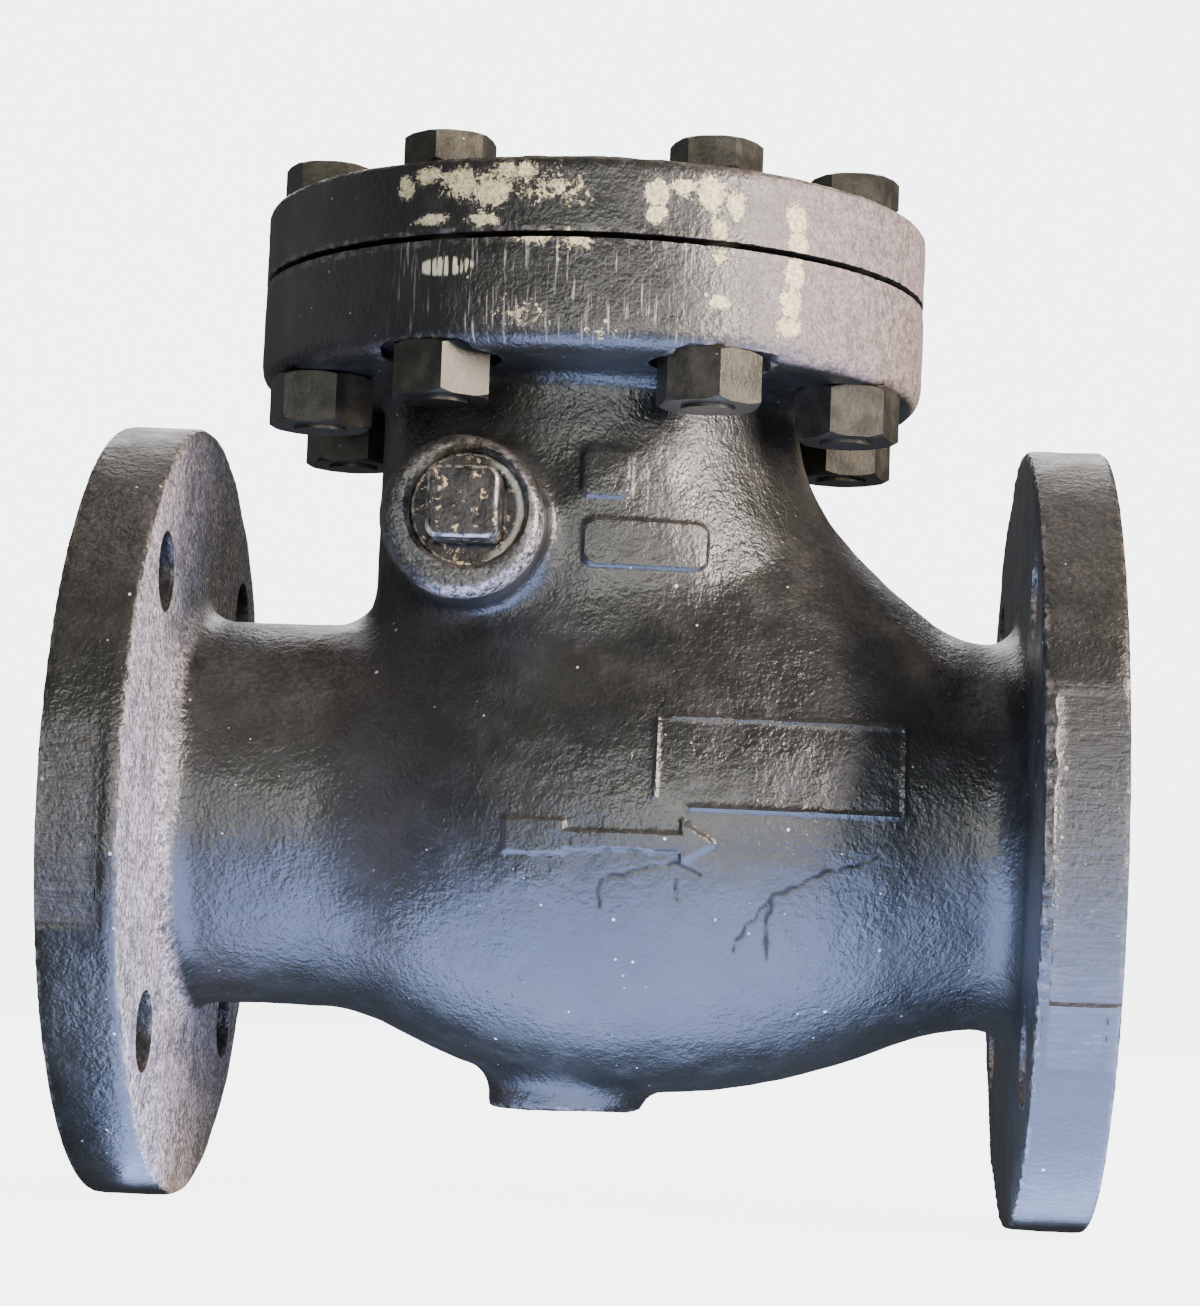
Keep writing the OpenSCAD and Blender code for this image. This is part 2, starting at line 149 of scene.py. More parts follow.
def bowl(x, r, inwards):
    """The two arcs of the bowl, moved inwards by a wall's thickness."""
    inlet = length(x - BOWL_X, r - BOWL_R + INLET_ARC) - INLET_ARC
    outlet = length(x - BOWL_X, r - BOWL_R + OUTLET_ARC) - OUTLET_ARC
    return np.where(x < BOWL_X, inlet, outlet) + inwards


def shoulder(x, y, z, r):
    """The sloping round bar between the cover neck and the outlet."""
    across = (x - COVER_X) * math.sin(SHOULDER_SLOPE) + (z - SHOULDER_Z) * math.cos(SHOULDER_SLOPE)
    along = (x - COVER_X) * math.cos(SHOULDER_SLOPE) - (z - SHOULDER_Z) * math.sin(SHOULDER_SLOPE)
    reach = (SHOULDER_END_X - COVER_X) / math.cos(SHOULDER_SLOPE)
    return disc(length(across, y), along - reach / 2, r, reach / 2, 1)


def waterway(x, y, z):
    """Everything that the water fills."""
    r = length(y, z)
    axis_r = length(x - COVER_X, y)
    chamber = np.maximum(join(bowl(x, r, WALL), r - BORE_R, WET_FILLET), PARTITION_X - x)
    neck = np.maximum(axis_r - NECK_BORE_R, -z)
    neck = np.maximum(neck, np.minimum(PARTITION_X - x, z * 0 + PARTITION_TOP_Z - z))
    wet = join(chamber, neck, WET_FILLET)
    wet = join(wet, shoulder(x, y, z, SHOULDER_R - WALL), WET_FILLET)
    from_pocket = np.abs(x - (SEAT_BACK_X + PARTITION_X) / 2) - (PARTITION_X - SEAT_BACK_X) / 2
    pocket = np.maximum(r - SEAT_POCKET_R, from_pocket)
    inlet = np.maximum(r - BORE_R, x - PARTITION_X)
    return np.minimum(np.minimum(wet, pocket), inlet)


def line_holes(x, y, z):
    """The eight line bolt holes in the end flanges."""
    hole = length(np.abs(y) - LINE_HOLE_OFFSET, np.abs(z) - LINE_HOLE_OFFSET) - LINE_HOLE_R
    from_end = FACE_TO_FACE / 2 - np.abs(x - FACE_TO_FACE / 2)
    return np.maximum(hole, from_end - LINE_HOLE_DEPTH)


def hinge_holes(x, y, z):
    """The pin hole and the chamfered pockets for the plugs."""
    r = length(x - PIN_X, z - PIN_Z)
    out = np.abs(y)
    pocket = np.maximum(r - PLUG_R - FIT, PLUG_POCKET_Y - out)
    chamfer = (r - PLUG_R - FIT - (out - BOSS_Y + 1.2)) * math.sqrt(0.5)
    return np.minimum(np.minimum(pocket, chamfer), r - PIN_HOLE_R)


def ground_flats(x, y, z):
    """Shallow places ground on the front of the end flanges' rims."""
    r = length(y, z)

    def patch(from_x, to_x, from_z, to_z, depth):
        u = np.abs(x - (from_x + to_x) / 2) - (to_x - from_x) / 2
        v = np.abs(z - (from_z + to_z) / 2) - (to_z - from_z) / 2
        return common(np.maximum(np.maximum(u, v), y), FLANGE_R - depth - r, GROUND_ROUNDING)

    past = 5
    inlet = patch(-past, GROUND_LEFT_X, *GROUND_LEFT_Z, 0.7)
    outlet = patch(GROUND_RIGHT_X, FACE_TO_FACE + past, *GROUND_RIGHT_Z, 0.8)
    low = patch(*GROUND_LOW_X, *GROUND_LOW_Z, 0.7)
    return np.minimum(np.minimum(inlet, outlet), low)


def casting(x, y, z):
    """The body casting."""
    r = length(y, z)
    axis_r = length(x - COVER_X, y)
    from_end = FACE_TO_FACE / 2 - np.abs(x - FACE_TO_FACE / 2)
    run = join(bowl(x, r, 0), r - NECK_R, RUN_FILLET)
    run = np.maximum(run, 1 - from_end)
    flanges = disc(r, from_end - FLANGE_T / 2, FLANGE_R, FLANGE_T / 2, FLANGE_ROUNDING)
    solid = join(run, flanges, FLANGE_FILLET)
    rim_half = 20
    rim = disc(axis_r, z - COVER_FLANGE_UNDER_Z - rim_half, COVER_R, rim_half, RIM_ROUNDING)
    neck = disc(axis_r, z - JOINT_Z / 2, COVER_NECK_R, JOINT_Z / 2, 0.5)
    neck = join(neck, rim, RIM_FILLET)
    spot_half = 8
    for (bolt_x, bolt_y), seat in zip(BOLT_XY, SEAT_Z):
        across = length(x - bolt_x, y - bolt_y) - SPOT_FACE_R
        spot = np.maximum(across, np.abs(z - seat + spot_half) - spot_half)
        neck = cut(neck, spot, SPOT_ROUNDING)
    solid = join(solid, neck, NECK_FILLET)
    solid = join(solid, shoulder(x, y, z, SHOULDER_R), SHOULDER_FILLET)
    boss = disc(length(x - BOSS_X, z - BOSS_Z), y, BOSS_R, BOSS_Y, BOSS_ROUNDING)
    solid = join(solid, boss, BOSS_FILLET)
    drain = disc(axis_r, z + DRAIN_DEPTH / 2, DRAIN_R, DRAIN_DEPTH / 2, DRAIN_ROUNDING)
    solid = join(solid, drain, BOSS_FILLET)
    solid = common(solid, z - JOINT_Z, FACE_ROUNDING)
    solid = cut(solid, ground_flats(x, y, z), GROUND_ROUNDING)
    holes = np.minimum(line_holes(x, y, z), hinge_holes(x, y, z))
    for bolt_x, bolt_y in BOLT_XY:
        round_hole = length(x - bolt_x, y - bolt_y) - COVER_HOLE_R
        holes = np.minimum(holes, np.maximum(round_hole, COVER_FLANGE_UNDER_Z - 5 - z))
    return np.maximum(np.maximum(solid, -waterway(x, y, z)), -holes)


def cover_plate(x, y, z):
    """The cover: rim, raised middle, and the spigot that enters the neck."""
    axis_r = length(x - COVER_X, y)
    half_t = (COVER_TOP_Z - COVER_UNDER_Z) / 2
    plate = disc(axis_r, z - (COVER_UNDER_Z + COVER_TOP_Z) / 2, COVER_R, half_t, 1.8)
    plate = np.minimum(plate, disc(axis_r, z - COVER_UNDER_Z - 3.8, COVER_R, 4, FACE_ROUNDING))
    sunk = 5
    dome = disc(axis_r, z - COVER_TOP_Z + sunk, DOME_R, cover_high[2] - COVER_TOP_Z + sunk, 4.5)
    plate = join(plate, dome, 3)
    spigot = disc(axis_r, z - COVER_UNDER_Z, NECK_BORE_R - 0.5, COVER_UNDER_Z - cover_low[2], 0.8)
    plate = np.minimum(plate, spigot)
    hollow = disc(axis_r, z - cover_low[2], NECK_BORE_R - WALL, COVER_UNDER_Z - cover_low[2], 2)
    plate = cut(plate, hollow, 1)
    for bolt_x, bolt_y in BOLT_XY:
        plate = np.maximum(plate, COVER_HOLE_R - length(x - bolt_x, y - bolt_y))
    return plate


# ------------------------ meshing
GRID_START = 1.37
PULL_TO_MIDDLE = 0.05
SMOOTH_LIMIT = 0.93


def gradient(field, p, h=0.02):
    """Direction in which a distance field grows, at each point."""
    g = np.empty_like(p)
    for axis in range(3):
        step = np.zeros(3)
        step[axis] = h
        ahead, behind = p + step, p - step
        g[:, axis] = field(*ahead.T) - field(*behind.T)
    return g / (2 * h)


def unit(v):
    return v / np.maximum(np.linalg.norm(v, axis=1, keepdims=True), 1e-9)


def mesh_field(field, low, high, step):
    """Dual contouring: vertices and faces of the field's surface, with its sharp edges kept."""
    axes = [np.arange(low[a] - step * GRID_START, high[a] + step * 2, step) for a in range(3)]
    counts = [len(a) for a in axes]
    values = field(axes[0][:, None, None], axes[1][None, :, None], axes[2][None, None, :])
    inside = values < 0
    points, normals, cells, flips = [], [], [], []
    strides = np.array([counts[1] * counts[2], counts[2], 1])
    for axis in range(3):
        near = [slice(None)] * 3
        far = [slice(None)] * 3
        near[axis], far[axis] = slice(None, -1), slice(1, None)
        crossing = np.argwhere(inside[tuple(near)] != inside[tuple(far)])
        start = np.stack([axes[a][crossing[:, a]] for a in range(3)], 1)
        t0, t1 = np.zeros(len(start)), np.ones(len(start))
        was_inside = inside[tuple(crossing.T)]
        for _ in range(12):
            middle = (t0 + t1) / 2
            at = start.copy()
            at[:, axis] += middle * step
            same = (field(*at.T) < 0) == was_inside
            t0, t1 = np.where(same, middle, t0), np.where(same, t1, middle)
        at = start.copy()
        at[:, axis] += (t0 + t1) / 2 * step
        b, c = (axis + 1) % 3, (axis + 2) % 3
        home = crossing @ strides
        ring = [home - strides[b] - strides[c], home - strides[c], home, home - strides[b]]
        points.append(at)
        normals.append(unit(gradient(field, at)))
        cells.append(np.stack(ring, 1))
        flips.append(was_inside)
    points, normals = np.concatenate(points), np.concatenate(normals)
    cells, flips = np.concatenate(cells), np.concatenate(flips)
    used, which = np.unique(cells.ravel(), return_inverse=True)
    which = which.reshape(cells.shape)
    total = np.bincount(which.ravel(), minlength=len(used)).astype(float)

    def gather(per_edge):
        return np.bincount(which.ravel(), np.repeat(per_edge, 4), len(used))

    centre = np.stack([gather(points[:, a]) for a in range(3)], 1) / total[:, None]
    average = np.stack([gather(normals[:, a]) for a in range(3)], 1)
    flatness = np.linalg.norm(average, axis=1) / total
    planes = np.einsum("ij,ij->i", normals, points)
    matrix = np.empty((len(used), 3, 3))
    side = np.empty((len(used), 3))
    for a in range(3):
        side[:, a] = gather(normals[:, a] * planes)
        for b in range(3):
            matrix[:, a, b] = gather(normals[:, a] * normals[:, b])
    side -= np.einsum("nij,nj->ni", matrix, centre)
    matrix += np.eye(3) * (PULL_TO_MIDDLE * total)[:, None, None]
    offset = np.linalg.solve(matrix, side[:, :, None])[:, :, 0]
    cell_low = np.stack([axes[a][(used // strides[a]) % counts[a]] for a in range(3)], 1)
    vertices = np.clip(centre + offset, cell_low - 0.05 * step, cell_low + 1.05 * step)
    vertices = np.clip(vertices, low, high)
    smooth = flatness > SMOOTH_LIMIT
    for _ in range(2):
        p = vertices[smooth]
        g = gradient(field, p)
        move = field(*p.T)[:, None] * g / np.maximum((g * g).sum(1, keepdims=True), 0.1)
        vertices[smooth] = p - np.clip(move, -0.5 * step, 0.5 * step)
    faces = np.where(flips[:, None], which, which[:, ::-1])
    return vertices, faces


def lumps(p, size, seed):
    """A smooth random field between about -1 and 1, with bumps about size apart."""
    entries = 8192
    table = np.random.default_rng(seed).uniform(-1, 1, entries)
    q = p / size
    cell = np.floor(q).astype(np.int64)
    t = q - cell
    t = t * t * (3 - 2 * t)
    total = 0.0
    for corner in np.ndindex(2, 2, 2):
        i, j, k = (cell + corner).T
        weight = np.prod(np.where(corner, t, 1 - t), axis=1)
        total = total + weight * table[(i * 7919 + j * 104729 + k * 1299709) % entries]
    return total


def curvature(field, p, reach):
    """Above 0 on outside edges, below 0 in corners, about 1 at a sharp right angle."""
    total = -6 * field(*p.T)
    for axis in range(3):
        step = np.zeros(3)
        step[axis] = reach
        total = total + field(*(p + step).T) + field(*(p - step).T)
    return total / reach


def make_object(name, vertices, faces, body, angle=32):
    """A mesh object from points in millimetres, riding on a CAD body."""
    mesh = bpy.data.meshes.new(name)
    mesh.vertices.add(len(vertices))
    mesh.vertices.foreach_set("co", (vertices * MM).astype(np.float32).ravel())
    mesh.loops.add(faces.size)
    mesh.loops.foreach_set("vertex_index", faces.ravel().astype(np.int32))
    mesh.polygons.add(len(faces))
    mesh.polygons.foreach_set("loop_start", np.arange(0, faces.size, 4, dtype=np.int32))
    mesh.update(calc_edges=True)
    mesh.validate()
    mesh.set_sharp_from_angle(angle=math.radians(angle))
    piece = bpy.data.objects.new(name, mesh)
    bpy.context.scene.collection.objects.link(piece)
    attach(piece, body)
    return piece


def points_of(mesh):
    co = np.empty(len(mesh.vertices) * 3, np.float32)
    mesh.vertices.foreach_get("co", co)
    return co.reshape(-1, 3).astype(float) / MM


def set_points(mesh, p):
    mesh.vertices.foreach_set("co", (p * MM).astype(np.float32).ravel())
    mesh.update()


def add_value(mesh, name, values):
    """A value per vertex that the materials read by name."""
    attribute = mesh.attributes.new(name, "FLOAT", "POINT")
    attribute.data.foreach_set("value", np.asarray(values, np.float32))


# ------------------------ marks cast on the front of the body
def bar(u, v, from_u, to_u, from_v, to_v, rounding):
    """Distance in the plane from a rectangle with round corners."""
    a = np.abs(u - (from_u + to_u) / 2) - (to_u - from_u) / 2 + rounding
    b = np.abs(v - (from_v + to_v) / 2) - (to_v - from_v) / 2 + rounding
    return np.minimum(np.maximum(a, b), 0) + length(np.maximum(a, 0), np.maximum(b, 0)) - rounding


def raised(distance, height, slope):
    """Height of a pad whose flanks are slope wide."""
    t = np.clip(0.5 - distance / slope, 0, 1)
    return height * t * t * (3 - 2 * t)


def stroke(u, v, route, width):
    """Distance in the plane from a line through the route's points, less half its width."""
    nearest = 1e3
    for (u0, v0), (u1, v1) in zip(route, route[1:]):
        du, dv = u1 - u0, v1 - v0
        along = np.clip(((u - u0) * du + (v - v0) * dv) / (du ** 2 + dv ** 2), 0, 1)
        nearest = np.minimum(nearest, length(u - u0 - along * du, v - v0 - along * dv))
    return nearest - width / 2


# Places on the front of the body, as x and z
ARROW_Z = -6.0
ARROW_TIP_X = 150.5
ARROW_HEAD = 8.0
ARROW_SLOPE, ARROW_FLANK = 0.62, 0.85
ARROW_TAIL_X = (101.5, 116)
# from x, to x, from z, to z
FRAME_LINES = [(135.8, 136.9, 3.5, 23), (139, 194, 22.3, 23.3), (144, 194, 1.4, 2.4), (193, 194, 1.4, 23)]
SIZE_PADS = [(116, 127.5, 74.5, 86.5), (117, 146, 58.5, 69.5)]
MARKED_REGION = (98, 198, -34, 26)
PADS_REGION = (112, 150, 55, 90)
SEAMS = [
    [(155, -30), (158, -25), (164, -17.5), (169, -15), (177, -11), (182, -10), (188, -7)],
    [(164.5, -17), (162.5, -23), (163, -32)],
    [(124, -21), (124.5, -15), (133, -12.5), (142, -10.8), (147, -13)],
    [(141.5, -14), (142, -19)],
]


def seam_lines(x, z):
    """Distance in the plane from the nearest casting seam."""
    wander = 0.35 * np.sin(x * 1.1) * np.cos(z * 0.9)
    return np.minimum.reduce([stroke(x + wander, z - wander, route, 0.3) for route in SEAMS])


def marks(x, z):
    """How far the front of the casting stands proud of the plain shape: arrow, frame and casting seams."""
    shaft = bar(x, z, ARROW_TAIL_X[0] + 10.5, ARROW_TIP_X - 6, ARROW_Z - 2, ARROW_Z + 2, 0.4)
    tail = bar(x, z, *ARROW_TAIL_X, ARROW_Z - 3.6, ARROW_Z + 4.4, 0.8)
    half = (ARROW_TIP_X - x) * ARROW_SLOPE
    head = np.maximum((np.abs(z - ARROW_Z) - half) * ARROW_FLANK, ARROW_TIP_X - ARROW_HEAD - x)
    arrow = np.minimum(np.minimum(shaft, tail), head)
    frame_line = np.minimum.reduce([bar(x, z, *sides, 0.4) for sides in FRAME_LINES])
    height = raised(arrow, 1.1, 0.9) + raised(frame_line, 0.55, 0.9)
    return height - raised(seam_lines(x, z), 0.55, 1.0)


def size_pads(x, z):
    """Two plain pads under the cover flange, at the right of the pin boss."""
    pads = np.minimum.reduce([bar(x, z, *sides, 2.5) for sides in SIZE_PADS])
    return raised(pads, 0.9, 1.1)


def within(x, z, region):
    """Which points of the front lie in a region."""
    from_x, to_x, from_z, to_z = region
    return (x > from_x) & (x < to_x) & (z > from_z) & (z < to_z)


# ------------------------ body and cover
def refine(mesh, chosen, cuts):
    """Cuts the chosen faces finer, and fits the faces round them."""
    work = bmesh.new()
    work.from_mesh(mesh)
    work.faces.ensure_lookup_table()
    edges = {edge for i in chosen for edge in work.faces[i].edges}
    bmesh.ops.subdivide_edges(work, edges=list(edges), cuts=cuts, use_grid_fill=True)
    work.to_mesh(mesh)
    work.free()


def face_facts(mesh):
    """Centre and normal of each face, the centre in millimetres."""
    centre = np.empty(len(mesh.polygons) * 3, np.float32)
    normal = np.empty(len(mesh.polygons) * 3, np.float32)
    mesh.polygons.foreach_get("center", centre)
    mesh.polygons.foreach_get("normal", normal)
    return centre.reshape(-1, 3) / MM, normal.reshape(-1, 3)


LONG_WAVE, SHORT_WAVE, GRAIN = 17, 8, 3.4


def cast_skin(p, field, coarse, fine):
    """Moves a cast surface along its own direction into the slight waves and grain of sand casting."""
    waves = coarse * lumps(p, LONG_WAVE, 1) + coarse * 0.7 * lumps(p, SHORT_WAVE, 2)
    lift = waves + fine * lumps(p, GRAIN, 3)
    return p + unit(gradient(field, p)) * lift[:, None]


def settle(p, field):
    """Moves points that lie near a smooth part of the surface onto it."""
    for _ in range(3):
        g = gradient(field, p)
        away = field(*p.T)
        steady = (np.abs(away) < 0.5) & ((g * g).sum(1) > 0.7)
        p[steady] -= (away[:, None] * g)[steady]


def as_cast(p):
    """1 on the casting's rough outside, falling to 0 at its machined faces, holes and waterway."""
    x, y, z = p.T
    ends = np.minimum(np.abs(x), np.abs(x - FACE_TO_FACE))
    flat = np.minimum(ends, np.abs(z - JOINT_Z))
    holes = np.minimum(np.abs(line_holes(x, y, z)), np.abs(hinge_holes(x, y, z)))
    nearest = np.minimum(np.minimum(np.abs(waterway(x, y, z)), holes), flat)
    return np.clip(nearest / 2, 0, 1)


def casting_kinds(mesh):
    """Material of each face: 0 painted, 1 machined, 2 the wet inside."""
    centre = face_facts(mesh)[0]
    wet = np.abs(waterway(*centre.T)) < 0.35
    bare = (centre[:, 0] < PARTITION_X) & wet
    machined = centre[:, 2] > JOINT_Z - 0.05
    return np.where(machined | bare, 1, np.where(wet, 2, 0)).astype(np.int32)


def make_casting():
    step = 1.9
    vertices, faces = mesh_field(casting, body_low, body_high, step)
    piece = make_object("valve_casting", vertices, faces, "valve_body")
    mesh = piece.data
    centre, normal = face_facts(mesh)
    x, y, z = centre.T
    marked = within(x, z, MARKED_REGION) | (within(x, z, PADS_REGION) & (y < -30))
    refine(mesh, np.flatnonzero(marked & (normal[:, 1] < -0.35)), 2)
    p = points_of(mesh)
    settle(p, casting)
    edge = curvature(casting, p, 1.6)
    p = p + (cast_skin(p, casting, 0.22, 0.10) - p) * as_cast(p)[:, None]
    x, y, z = p.T
    front = within(x, z, MARKED_REGION) & (y < -35)
    above = within(x, z, PADS_REGION) & (y < -35)
    rise = np.where(front, marks(x, z), 0) + np.where(above, size_pads(x, z), 0)
    p = np.clip(p + unit(gradient(casting, p)) * rise[:, None], body_low, body_high)
    set_points(mesh, p)
    # where the casting seams run, for the painted shade in them
    seam = np.where(front, np.clip(1 - seam_lines(p[:, 0], p[:, 2]) / 0.7, 0, 1), 0)
    add_value(mesh, "edge", edge)
    add_value(mesh, "seam", seam)
    mesh.set_sharp_from_angle(angle=math.radians(40))
    mesh.polygons.foreach_set("material_index", casting_kinds(mesh))
    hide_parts("body_casting")
    return piece


def make_cover():
    step = 1.6
    vertices, faces = mesh_field(cover_plate, cover_low, cover_high, step)
    piece = make_object("valve_cover", vertices, faces, "valve_body")
    p = points_of(piece.data)
    edge = curvature(cover_plate, p, 1.4)
    top = np.clip((p[:, 2] - COVER_UNDER_Z) / 1.5, 0, 1)
    p = p + (cast_skin(p, cover_plate, 0.18, 0.10) - p) * top[:, None]
    set_points(piece.data, p)
    add_value(piece.data, "edge", edge)
    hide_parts("cover")
    return piece


# ------------------------ materials
class Paint:
    """Builds one node material. Colour and roughness are laid on in layers, each over the ones before."""

    def __init__(self, name, **values):
        self.material = bpy.data.materials.new(name)
        self.material.use_nodes = True
        self.tree = self.material.node_tree
        self.shader = self.tree.nodes["Principled BSDF"]
        for socket, value in values.items():
            self.shader.inputs[socket.replace("_", " ")].default_value = value
        self.place = self.node("TexCoord").outputs["Object"]

    def node(self, kind, **settings):
        made = self.tree.nodes.new("ShaderNode" + kind)
        for key, value in settings.items():
            setattr(made, key, value)
        return made

    def plug(self, value, socket):
        if isinstance(value, bpy.types.NodeSocket):
            self.tree.links.new(value, socket)
        else:
            socket.default_value = value

    def math(self, operation, a, b=0.0, clamp=False):
        made = self.node("Math", operation=operation, use_clamp=clamp)
        self.plug(a, made.inputs[0])
        self.plug(b, made.inputs[1])
        return made.outputs[0]

    def less(self, a, b):
        return self.math("SUBTRACT", a, b)

    def product(self, *values):
        total = values[0]
        for value in values[1:]:
            total = self.math("MULTIPLY", total, value)
        return total

    def distance(self, a, b):
        """Distance from an axis, out of the two coordinates across it."""
        return self.math("SQRT", self.math("ADD", self.product(a, a), self.product(b, b)))

    def spread(self, value, low, high, to_low=0.0, to_high=1.0):
        """Maps low..high to to_low..to_high, smoothly and clamped."""
        made = self.node("MapRange", interpolation_type="SMOOTHSTEP")
        for socket, number in zip(made.inputs, (value, low, high, to_low, to_high)):
            self.plug(number, socket)
        return made.outputs[0]

    def between(self, value, low, high, soft):
        """1 where value lies between low and high, with soft ends."""
        above = self.spread(value, low - soft, low)
        return self.product(above, self.spread(value, high, high + soft, 1.0, 0.0))

    def stretched(self, x, y, z):
        """The place in the part's frame with each axis scaled."""
        made = self.node("Mapping")
        self.plug(self.place, made.inputs["Vector"])
        made.inputs["Scale"].default_value = (x, y, z)
        return made.outputs[0]

    def noise(self, size_mm, detail=3.0, roughness=0.55, where=None, warp=0.0):
        made = self.node("TexNoise")
        self.plug(where or self.place, made.inputs["Vector"])
        settings = {"Scale": 1 / (size_mm * MM), "Detail": detail, "Roughness": roughness, "Distortion": warp}
        for socket, value in settings.items():
            made.inputs[socket].default_value = value
        return made.outputs["Fac"]

    def blotches(self, size_mm, low, high, detail=3.0, roughness=0.55, where=None):
        """Noise that is 0 under low and 1 over high."""
        return self.spread(self.noise(size_mm, detail, roughness, where), low, high)

    def dots(self, spacing_mm, radius, share):
        """Small dots in a share of the cells, with their radius as a part of the spacing."""
        made = self.node("TexVoronoi")
        self.plug(self.place, made.inputs["Vector"])
        made.inputs["Scale"].default_value = 1 / (spacing_mm * MM)
        picked = self.node("SeparateColor")
        self.plug(made.outputs["Color"], picked.inputs[0])
        size = self.product(self.math("LESS_THAN", picked.outputs[0], share), picked.outputs[1])
        near = self.less(self.product(size, radius), made.outputs["Distance"])
        return self.spread(near, 0.0, radius * 0.25)

    def parts(self):
        """x, y and z of the place, in metres."""
        made = self.node("SeparateXYZ")
        self.plug(self.place, made.inputs[0])
        return made.outputs[0], made.outputs[1], made.outputs[2]

    def facing(self):
        """The surface's direction as x, y and z."""
        made = self.node("SeparateXYZ")
        self.plug(self.node("NewGeometry").outputs["Normal"], made.inputs[0])
        return made.outputs[0], made.outputs[1], made.outputs[2]

    def value(self, name):
        return self.node("Attribute", attribute_name=name).outputs["Fac"]

    def mix(self, share, a, b):
        made = self.node("Mix", data_type="RGBA")
        self.plug(share, made.inputs["Factor"])
        for colour, socket in ((a, made.inputs[6]), (b, made.inputs[7])):
            self.plug(colour if isinstance(colour, bpy.types.NodeSocket) else (*colour, 1.0), socket)
        return made.outputs[2]

    def blend(self, share, a, b):
        made = self.node("Mix", data_type="FLOAT")
        self.plug(share, made.inputs["Factor"])
        self.plug(a, made.inputs[2])
        self.plug(b, made.inputs[3])
        return made.outputs[0]

    def base(self, share, a, b, rough):
        """The first layer: two colours and a roughness."""
        self.colour = self.mix(share, a, b)
        self.rough = rough

    def lay(self, share, colour, rough=None):
        """Covers a share of what is there with another colour, and with its roughness where one is given."""
        self.colour = self.mix(share, self.colour, colour)
        if rough is not None:
            self.rough = self.blend(share, self.rough, rough)

    def bump(self, height, depth_mm, strength=1.0, after=None):
        made = self.node("Bump")
        made.inputs["Strength"].default_value = strength
        made.inputs["Distance"].default_value = depth_mm * MM
        self.plug(height, made.inputs["Height"])
        if after is not None:
            self.plug(after, made.inputs["Normal"])
        return made.outputs[0]

    def finish(self, normal=None, metallic=None):
        found = {"Base Color": self.colour, "Roughness": self.rough, "Normal": normal, "Metallic": metallic}
        for socket, value in found.items():
            if value is not None:
                self.plug(value, self.shader.inputs[socket])
        return self.material


def round_cover(paint):
    """Metres round the cover's rim from its front."""
    x, y, _ = paint.parts()
    turn = paint.math("ARCTAN2", paint.less(x, COVER_X * MM), paint.product(y, -1.0))
    return paint.product(turn, COVER_R * MM)


def streak_coordinates(paint, around, z):
    """A place on the cover's rims, for noise drawn out into upright streaks."""
    made = paint.node("CombineXYZ")
    paint.plug(around, made.inputs[0])
    paint.plug(paint.product(z, STREAK_STRETCH), made.inputs[1])
    return made.outputs[0]


def patch_at(paint, around, z, angle, height, half_width, half_height):
    """1 at a place on the cover's rims, its angle taken from the front, fading to 0 over its half sizes."""
    from_middle = paint.less(around, math.radians(angle) * COVER_R * MM)
    u = paint.math("DIVIDE", from_middle, half_width * MM)
    v = paint.math("DIVIDE", paint.less(z, height * MM), half_height * MM)
    return paint.spread(paint.distance(u, v), 0.0, 1.0, 1.0, 0.0)


STREAK_STRETCH = 0.06
RING_PITCH = 0.8
CREAM_LIMIT = (0.628, 0.655)
# Old paint on the cover's rims: angle from the front, height, half width, half height, and how solid it is
SPLATTER = [
    (-29, 142.5, 4, 5, 1.0), (-25, 145, 8, 4, 0.75), (-19, 143, 10, 7, 0.8), (-14, 140.5, 9, 8, 0.85),
    (-10, 145.5, 12, 4, 0.75), (-24, 134.5, 8, 2.5, 0.8), (-15, 134, 7, 3, 0.9), (-3, 141, 14, 9, 0.55),
    (-6, 130, 9, 4, 0.75), (0, 129, 9, 5, 0.6), (-8, 112, 14, 7, 0.45), (6, 108, 12, 4, 0.4),
    (13, 141, 5.5, 6, 1.1), (13, 136, 4.5, 4, 1.1), (17, 143, 6, 4, 1.0), (22, 142, 6.5, 8, 1.15),
    (26, 140, 5, 7, 1.0), (23.5, 134, 4, 6, 0.9), (23.5, 127, 5, 5, 0.75), (24, 117, 4, 3.5, 1.0),
    (37.5, 139, 5.5, 6, 1.2), (38, 133, 5, 7, 1.0), (37.5, 126, 5, 7, 1.2), (37, 119, 5.5, 7, 1.1),
    (36.5, 113.5, 6, 4.5, 1.2),
]


def lay_dust_and_painted_light(paint, mid):
    """Dust on what looks up, and dust with painted light on the back of the inlet flange, which faces the
    warm side lamp. Returns how much of it lies where.
    """
    x = paint.parts()[0]
    nx, _, nz = paint.facing()
    upward = paint.spread(nz, 0.25, 0.9)
    # the back of the inlet flange is dust made pale as painted light from the warm side lamp
    flange_back_dust_and_light = paint.product(paint.spread(nx, 0.5, 0.9), paint.spread(x, 30 * MM, 21 * MM))
    dust_and_painted_light = paint.math("ADD", paint.product(upward, 0.10), paint.product(flange_back_dust_and_light, 0.95), clamp=True)
    grain = paint.blotches(1.2, 0.40, 0.60, 5, 0.75)
    dust = paint.product(dust_and_painted_light, paint.blend(0.45, grain, paint.spread(mid, 0.25, 0.6)))
    # pale pink-grey dust colour, brightened as painted light where it covers the flange back
    dust_and_light_colour = paint.mix(paint.blotches(1.4, 0.42, 0.58, 5, 0.85), (0.15, 0.11, 0.10), (0.95, 0.82, 0.77))
    paint.lay(dust, dust_and_light_colour, 0.8)
    return dust


